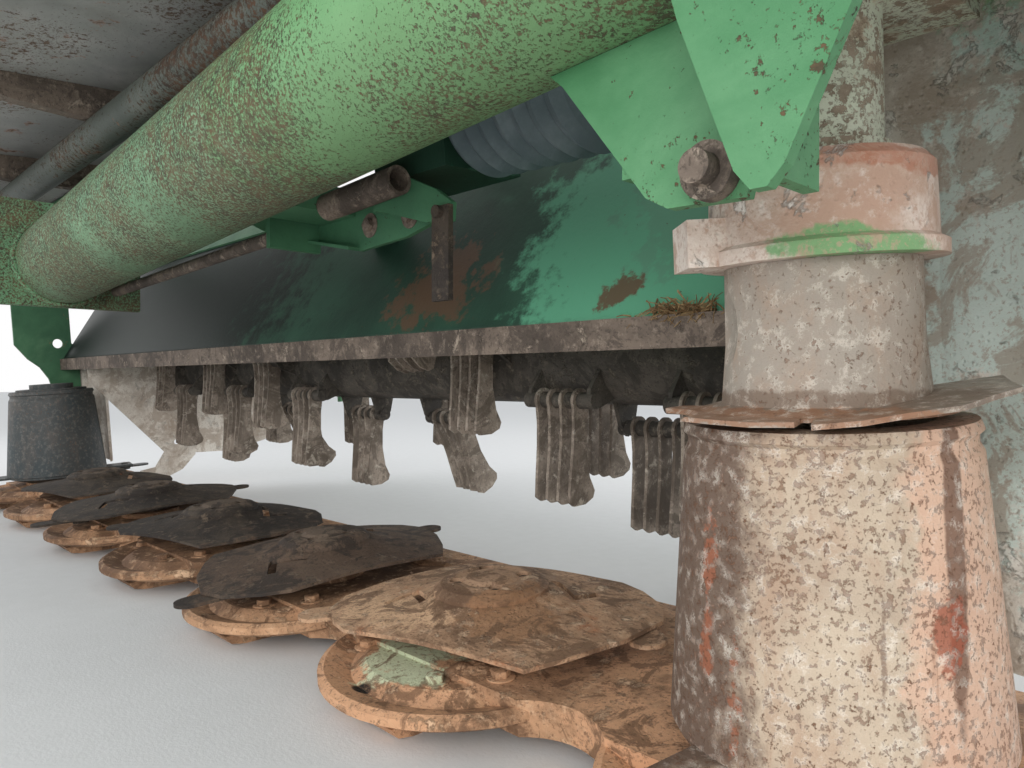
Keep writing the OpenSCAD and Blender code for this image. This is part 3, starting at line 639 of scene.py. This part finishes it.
def bolts(name, body, finish, places, radius=0.0095, washer=1.7):
    """One hexagon head on its washer for each place and outward direction."""
    heads = []
    for number, (place, outward) in enumerate(places):
        out = Vector(outward).normalized()
        spun = Matrix.Rotation(number * 0.7, 3, "Z").to_quaternion()
        turn = (out.to_track_quat("Z", "Y") @ spun).to_euler()
        ring = (32, radius * washer, -0.0004, 0.002)
        head = (6, radius, 0.0016, radius * 0.85)
        for sides, wide, low, high in (ring, head):
            bpy.ops.mesh.primitive_cylinder_add(
                vertices=sides, radius=wide, depth=high - low,
                location=place + out * (low + high) / 2, rotation=turn,
            )
            heads.append(bpy.context.object)
    piece = joined(name, heads)
    worn_edges(piece, radius * 0.09)
    print(name, len(places), "bolts")
    return settle(piece, body, finish)


# %% [markdown]
# ### Bolts low down
# Three bolts stand on each lobe of the bar, four hold each disc on its hub
# and a row runs along the rear of the bar. They sit where soil scours them,
# so they are as brown as the steel. The four on a hub ride the disc.

# %% Bolts on the bar and the hubs
FORWARD = Vector((0, -1, 0))
SIDEWAYS = Vector((1, 0, 0))
DISC_TURNS = (10, 80, 10, 80, 10)
lobe_bolts = []
for number in range(1, 6):
    for dx, y, h in ((-106, -126, 56.9), (53, -140, 60.4), (112, -92, 66)):
        lobe_bolts.append((on_unit(disc_x(number) + dx, y, h), UNIT_UP))
bolts("lobe_bolts", "mowing_unit", "rust_bar", lobe_bolts, 0.0115, 1.5)
HUB_RING = 44
for number, turn in enumerate(DISC_TURNS, 1):
    places = []
    for quarter in range(4):
        a = math.radians(turn + 45 + 90 * quarter)
        places.append((on_unit(disc_x(number) + HUB_RING * math.cos(a), HUB_RING * math.sin(a), 128), UNIT_UP))
    bolts("hub_bolts_%d" % number, "disc_%d" % number, "rust_disc", places, 0.0068, 1.3)
bar_bolts = [(on_unit(x, 170, 64), UNIT_UP) for x in range(-1180, 1240, 210)]
bolts("bar_bolts", "mowing_unit", "rust_bar", bar_bolts, 0.009)

# %% [markdown]
# ### Bolts higher up
# The bracket, the edge of the cover, the hood, the drive case and the side
# plates are bolted sheet, each with its own row, and the seal of the input
# shaft has a ring of six. The hood's rows stand square to its slopes.

# %% Bolts on the plates, the cover and the hood
plate_spots = ((427, 692), (314, 668), (600, 630), (700, 630))
plate_bolts = [(on_machine(x, -26, z), FORWARD) for x, z in plate_spots]
bolts("bracket_bolts", "mowing_unit", "rust_lip", plate_bolts, 0.011)
cover_bolts = [(on_unit(x, 8, 985), UNIT_UP) for x in range(-1380, 980, 195)]
bolts("cover_bolts", "mowing_unit", "rust_lip", cover_bolts)
HOOD_RISE = on_unit(0, -129, 1000) - on_unit(0, 0, 0)
HOOD_FALL = on_unit(0, 118, 1000) - on_unit(0, 0, 0)
hood_bolts = []
for x in (-900, -300, 300, 900):
    hood_bolts += [(on_unit(x, 390, 845.8), HOOD_RISE), (on_unit(x, 500, 860.2), HOOD_RISE)]
    hood_bolts.append((on_unit(x, 690, 852.5), HOOD_FALL))
bolts("hood_bolts", "mowing_unit", "rust_lip", hood_bolts)
CASE_FACE = 1286.3
case_bolts = [(on_unit(CASE_FACE, y, h), SIDEWAYS) for h in (312, 420, 540, 660, 754) for y in (346, 502)]
bolts("case_bolts", "mowing_unit", "rust_lip", case_bolts)
side_bolts = [(on_unit(1466, 96, h), SIDEWAYS) for h in (340, 520, 700, 840)]
side_bolts += [(on_unit(-1440, 30, h), -SIDEWAYS) for h in (620, 720, 820)]
bolts("side_bolts", "mowing_unit", "rust_lip", side_bolts, 0.011)
SHAFT_X, SHAFT_Z = 2050, 767
SEAL_RING = 37
seal_bolts = []
for sixth in range(6):
    a = math.radians(60 * sixth + 30)
    place = on_machine(SHAFT_X + SEAL_RING * math.cos(a), -580, SHAFT_Z + SEAL_RING * math.sin(a))
    seal_bolts.append((place, FORWARD))
bolts("seal_bolts", "headstock", "steel_turned", seal_bolts, 0.0055, 1.3)

# %% [markdown]
# ## Weld beads
# A weld is a row of small overlapping drops. One small ball with an Array
# modifier gives a straight bead along the headstock, and a thin torus
# roughened by noise gives the ring where the arm enters its end plate. A
# curve with a round section would be as quick, but it has no drops.


# %% Beads along straight joints, and round the arm
def bead(name, start, end, size=0.0045):
    """A row of drops from start to end."""
    way = end - start
    count = max(2, int(way.length / (size * 0.9)))
    bpy.ops.mesh.primitive_uv_sphere_add(segments=14, ring_count=8, radius=size, location=start)
    drop = bpy.context.object
    array = drop.modifiers.new("row", "ARRAY")
    array.count = count
    array.use_relative_offset = False
    array.use_constant_offset = True
    array.constant_offset_displace = way / (count - 1)
    bpy.ops.object.modifier_apply(modifier="row")
    bpy.ops.object.shade_smooth()
    return drop


weld_lines = [
    (on_machine(2042, -141, 572), on_machine(2310, -141, 572)),
    (on_machine(2042, -394, 572), on_machine(2310, -394, 572)),
]
welds = [bead("weld", start, end) for start, end in weld_lines]
settle(joined("head_welds", welds), "headstock", "paint_plate")
ragged = bpy.data.textures.new("ragged", "CLOUDS")
ragged.noise_scale = 0.012
ARM_FAR = on_machine(-356, -202, 663)
ARM_NEAR = on_machine(2010, -271, 765)
arm_way = ARM_NEAR - ARM_FAR
bpy.ops.mesh.primitive_torus_add(
    major_radius=0.0975, minor_radius=0.006, major_segments=160, minor_segments=12,
    location=ARM_FAR + arm_way.normalized() * 0.004,
    rotation=arm_way.to_track_quat("Z", "Y").to_euler(),
)
ring = joined("arm_weld", [bpy.context.object])
rough = ring.modifiers.new("rough", "DISPLACE")
rough.texture = ragged
rough.texture_coords = "GLOBAL"
rough.strength = 0.004
bpy.ops.object.modifier_apply(modifier="rough")
bpy.ops.object.shade_smooth()
settle(ring, "mowing_unit", "paint_arm")
print("welds laid:", len(weld_lines) + 1)

# %% [markdown]
# ## Mud
# A mower is put away dirty, and clods sit on the bar round the discs. A clod
# could be sculpted. Here it is a ball pressed flat and pushed about by two
# sizes of noise, which makes each one different.

# %% Clods of mud
def clod(place, wide, deep, high, turn=0.0):
    """A lump of mud, by its full sizes in millimetres."""
    bpy.ops.mesh.primitive_ico_sphere_add(subdivisions=5, radius=1.0, location=place, rotation=(0, 0, turn))
    lump = bpy.context.object
    lump.scale = (wide / 2000, deep / 2000, high / 2000)
    bpy.ops.object.transform_apply(location=True, rotation=True, scale=True)
    for grain, strength in ((0.03, 0.012), (0.008, 0.005)):
        texture = bpy.data.textures.new("clod", "CLOUDS")
        texture.noise_scale = grain
        push = lump.modifiers.new("push", "DISPLACE")
        push.texture = texture
        push.texture_coords = "GLOBAL"
        push.strength = strength
        bpy.ops.object.modifier_apply(modifier="push")
    bpy.ops.object.shade_smooth()
    return lump


clods = [
    clod(on_unit(904, -98, 60), 62, 50, 18, 0.5), clod(on_unit(940, -80, 61), 30, 24, 12),
    clod(on_unit(760, 120, 66), 70, 40, 14), clod(on_unit(520, 150, 65), 90, 40, 12, 0.4),
    clod(on_unit(60, 140, 65), 80, 46, 14), clod(on_unit(-420, 150, 65), 70, 40, 12),
    clod(on_unit(-820, 140, 65), 84, 44, 14),
]
settle(joined("bar_mud", clods), "mowing_unit", "rust_bar")
print("clods of mud:", len(clods))

# %% [markdown]
# ## Dry grass
# A handful of cut grass has dried on the lip near the drive. Hair would be
# the usual way. Here each stalk is a thin cone, a mesh from the start, and
# the whole bunch is bent a little by noise, which looks less combed than
# straight stalks.

# %% Dry grass on the lip
chance = random.Random(7)
stalks = []
for number in range(110):
    long = chance.uniform(0.018, 0.062)
    x = chance.gauss(1100, 26)
    place = on_unit(x, 78 + chance.uniform(-6, 6), 468 + chance.uniform(-3, 7))
    tilt = (chance.uniform(0.9, 2.3), chance.uniform(-0.5, 0.5), chance.uniform(-1.2, 1.2))
    bpy.ops.mesh.primitive_cone_add(
        vertices=5, radius1=0.0011, radius2=0.0004, depth=long, location=place, rotation=tilt
    )
    stalks.append(bpy.context.object)
bunch = joined("dry_grass", stalks)
bpy.ops.object.mode_set(mode="EDIT")
bpy.ops.mesh.select_all(action="SELECT")
bpy.ops.mesh.subdivide(number_cuts=3)
bpy.ops.object.mode_set(mode="OBJECT")
sway = bunch.modifiers.new("sway", "DISPLACE")
sway.texture = bpy.data.textures.new("sway", "CLOUDS")
sway.texture.noise_scale = 0.03
sway.texture_coords = "GLOBAL"
sway.direction = "Z"
sway.strength = 0.02
bpy.ops.object.modifier_apply(modifier="sway")
straw = Finish("dry_straw")
ripe = straw.step(straw.noise(60.0, 6, 0.7), 0.4, 0.65)
straw_colour = straw.mix(chip(122, 96, 66), chip(176, 150, 108), ripe)
finishes["dry_straw"] = straw.close(straw_colour, 0.8, straw.noise(300.0, 3), 0.0004)
settle(bunch, "mowing_unit", "dry_straw")
print("stalks of grass:", len(stalks))

# %% [markdown]
# ## The splined shaft
# A driving yoke slides on six splines, and the plain solid has none. A
# boolean could cut them. Here a round bar of 72 sides has its corners
# pushed in at six places, three corners at a time, which cuts straight
# grooves with sloped walls. The plain journal behind them runs in the seal,
# and the whole new bar stands in for the solid.


# %% Input shaft with six grooves
def round_bar(radius, start, end, grooves=0.0):
    """A bar on the shaft's line between two places along the machine's y."""
    bpy.ops.mesh.primitive_cylinder_add(
        vertices=72, radius=radius / 1000, depth=(start - end) / 1000,
        location=on_machine(SHAFT_X, (start + end) / 2, SHAFT_Z), rotation=(math.radians(90), 0, 0),
    )
    bar = bpy.context.object
    for corner in bar.data.vertices:
        turn = round(math.degrees(math.atan2(corner.co.y, corner.co.x))) % 60
        if grooves and min(turn, 60 - turn) <= 5:
            corner.co.xy *= grooves / radius
    return bar


parts = [round_bar(22, -530, -584), round_bar(17.45, -583, -601), round_bar(17.45, -600.5, -670, 15.2)]
splined = joined("splined_shaft", parts)
worn_edges(splined, 0.0008)
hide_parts("input_shaft")
settle(splined, "input_shaft", "steel_turned")
print("splined shaft:", len(splined.data.vertices), "corners")

# %% [markdown]
# ## The floor
# A plain pale floor carries the shadow. It is part of the studio, not of the
# machine.

# %% Floor
bpy.ops.object.select_all(action="DESELECT")
bpy.ops.mesh.primitive_plane_add(size=60, location=(0, 0, 0))
floor = bpy.context.object
floor.name = "studio_floor"
pale = Finish("pale_floor")
floor_colour = pale.mix(chip(214, 214, 212), chip(224, 224, 223), pale.noise(30.0, 6, 0.6))
floor.data.materials.append(pale.close(floor_colour, 0.85, pale.noise(200.0, 3), 0.0005))
